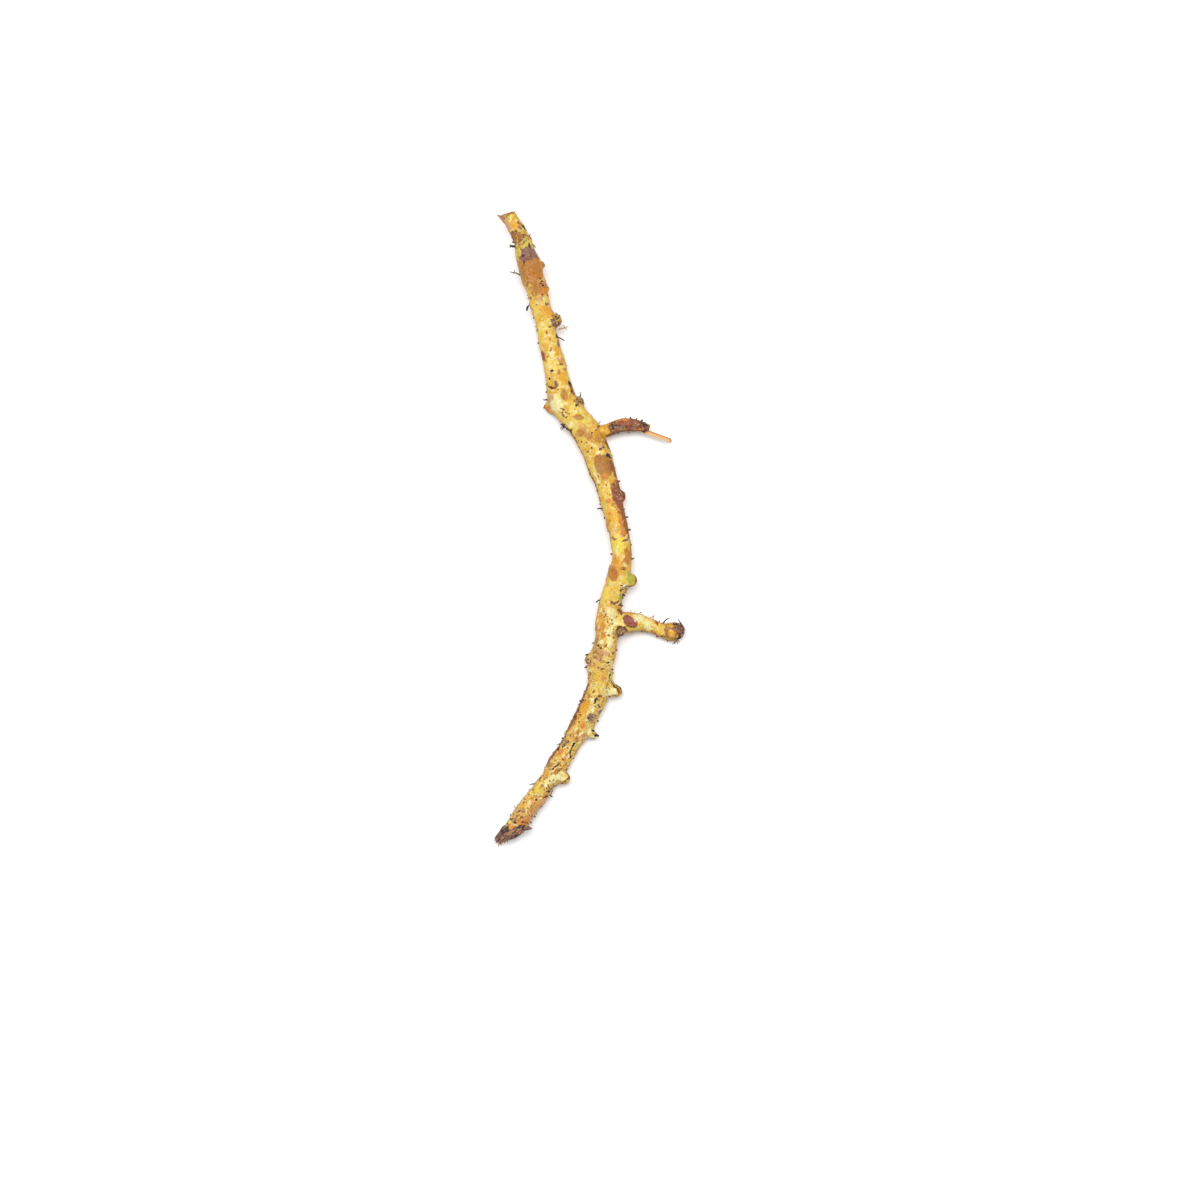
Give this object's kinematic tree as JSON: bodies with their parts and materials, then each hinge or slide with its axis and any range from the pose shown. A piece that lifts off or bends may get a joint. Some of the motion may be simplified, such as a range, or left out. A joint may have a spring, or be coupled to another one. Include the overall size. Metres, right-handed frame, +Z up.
{
  "type": "licorice root",
  "caption": "Length of knobbly yellow rhizome sold as licorice root, with a torn end, a scaly growing tip, two short side branches, leaf scars and rootlet stubs.",
  "frame": {"origin": "centre of the bounding box in X and Y, on the surface the root lies on", "axes": "+Y along the root towards its torn end, +X towards the side its branches leave on, +Z up from the surface it lies on"},
  "size_m": [0.0569, 0.1893, 0.0128],
  "materials": {
    "root_skin": "smooth, slightly waxy yellow skin with matte brown scars and bark"
  },
  "bodies": {
    "root": {"root": "root_skin"}
  },
  "joints": []
}
